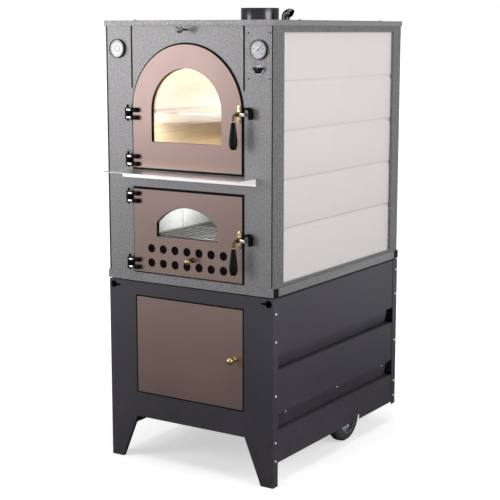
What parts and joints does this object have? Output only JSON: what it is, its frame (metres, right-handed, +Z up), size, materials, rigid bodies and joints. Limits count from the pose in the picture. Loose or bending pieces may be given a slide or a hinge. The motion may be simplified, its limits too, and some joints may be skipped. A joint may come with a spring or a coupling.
{
  "type": "wood-fired deck oven",
  "caption": "Freestanding wood-fired deck oven on a wheeled trolley: arched glazed baking door over a firebox door, cupboard below, flue collar on top.",
  "frame": {"origin": "on the floor, under the middle of the whole object's box", "axes": "+Z up, +Y towards the back, +X to the right as seen from the front"},
  "size_m": [0.758, 1.1174, 1.75],
  "materials": {
    "hammered_paint": "hammered grey powder coat, satin",
    "bronze_paint": "bronze brown paint, semi-gloss",
    "anthracite_paint": "anthracite powder coat, satin",
    "light_paint": "pale grey paint, matt",
    "black_paint": "black heat-resistant paint",
    "stainless": "polished stainless sheet",
    "flue_steel": "dark polished flue steel",
    "plain_steel": "plain mill steel",
    "chromed": "bright chrome",
    "zinc": "zinc plated",
    "cast_iron": "raw cast iron",
    "brass": "worn brass",
    "grip_black": "black moulded grip",
    "cap_black": "black plastic plug",
    "dial_white": "white dial face",
    "door_glass": "heat-resistant glass ceramic",
    "refractory": "refractory brick",
    "wool": "ceramic fibre",
    "tyre_rubber": "black solid rubber"
  },
  "bodies": {
    "oven": {"lid": "hammered_paint", "black_screws": "black_paint", "front_panel": "hammered_paint", "side_frames": "hammered_paint", "side_panels": "light_paint", "rear_panel": "hammered_paint", "base_frame": "hammered_paint", "tube_end_caps": "cap_black", "shelf": "stainless", "instrument_plate": "hammered_paint", "thermometer_case": "chromed", "thermometer_dial": "dial_white", "switch_bezel": "chromed", "badge": "chromed", "door_frames": "black_paint", "door_gaskets": "wool", "frame_hinges": "black_paint", "latch_catches": "black_paint", "baking_chamber": "stainless", "refractory_bricks": "refractory", "baking_rack": "chromed", "oven_lamp": "door_glass", "smoke_jacket": "plain_steel", "insulation_blanket": "wool", "firebox": "plain_steel", "fire_grate": "cast_iron", "ash_drawer": "plain_steel", "flue_collar": "flue_steel", "steam_vent": "flue_steel", "trolley_front_panel": "anthracite_paint", "trolley_back": "anthracite_paint", "side_boards": "anthracite_paint", "trolley_bolts": "zinc", "trolley_shelves": "anthracite_paint", "axle": "plain_steel"},
    "upper_door": {"upper_door_plate": "bronze_paint", "upper_door_pan": "black_paint", "upper_door_glass": "door_glass", "upper_door_lugs": "black_paint", "upper_latch_bracket": "brass"},
    "upper_latch": {"upper_latch_lever": "brass", "upper_latch_grip": "grip_black"},
    "lower_door": {"lower_door_plate": "bronze_paint", "lower_door_pan": "black_paint", "lower_door_glass": "door_glass", "lower_door_lugs": "black_paint", "lower_latch_bracket": "brass"},
    "lower_latch": {"lower_latch_lever": "brass", "lower_latch_grip": "grip_black"},
    "air_shutter": {"air_shutter": "plain_steel", "shutter_knob": "brass"},
    "cupboard_door": {"cupboard_door": "bronze_paint", "cupboard_knob": "brass"},
    "damper": {"damper": "stainless"},
    "thermometer_needle": {"thermometer_needle": "black_paint"},
    "switch_knob": {"switch_knob": "grip_black"},
    "wheel_left": {"tyre_left": "tyre_rubber", "wheel_rim_left": "zinc"},
    "wheel_right": {"tyre_right": "tyre_rubber", "wheel_rim_right": "zinc"}
  },
  "joints": [
    {"name": "upper_door_hinge", "type": "hinge", "parent": "oven", "child": "upper_door", "pos_m": [-0.262, -0.45275, 1.37], "axis": [0, 0, -1], "range_deg": [0, 110]},
    {"name": "lower_door_hinge", "type": "hinge", "parent": "oven", "child": "lower_door", "pos_m": [-0.262, -0.45275, 0.915], "axis": [0, 0, -1], "range_deg": [0, 110]},
    {"name": "upper_latch_turn", "type": "hinge", "parent": "upper_door", "child": "upper_latch", "pos_m": [0.235, -0.45875, 1.3687], "axis": [0, 1, 0], "range_deg": [0, 90]},
    {"name": "lower_latch_turn", "type": "hinge", "parent": "lower_door", "child": "lower_latch", "pos_m": [0.235, -0.45875, 0.916], "axis": [0, 1, 0], "range_deg": [0, 90]},
    {"name": "air_shutter_slide", "type": "slide", "parent": "lower_door", "child": "air_shutter", "axis": [-1, 0, 0], "range_m": [0, 0.0273]},
    {"name": "cupboard_door_hinge", "type": "hinge", "parent": "oven", "child": "cupboard_door", "pos_m": [-0.236, -0.42975, 0.467], "axis": [0, 0, -1], "range_deg": [0, 100]},
    {"name": "damper_slide", "type": "slide", "parent": "oven", "child": "damper", "axis": [0, -1, 0], "range_m": [0, 0.12]},
    {"name": "needle_turn", "type": "hinge", "parent": "oven", "child": "thermometer_needle", "pos_m": [0.314, -0.44775, 1.5965], "axis": [0, 1, 0], "range_deg": [-185, 85], "stiffness_Nm_per_rad": 0.0005},
    {"name": "switch_turn", "type": "hinge", "parent": "oven", "child": "switch_knob", "pos_m": [0.314, -0.44875, 1.526], "axis": [0, 1, 0], "range_deg": [0, 90]},
    {"name": "left_wheel_spin", "type": "hinge", "parent": "oven", "child": "wheel_left", "pos_m": [-0.314, 0.20625, 0.1], "axis": [1, 0, 0], "continuous": true},
    {"name": "right_wheel_spin", "type": "hinge", "parent": "oven", "child": "wheel_right", "pos_m": [0.314, 0.20625, 0.1], "axis": [1, 0, 0], "continuous": true}
  ]
}
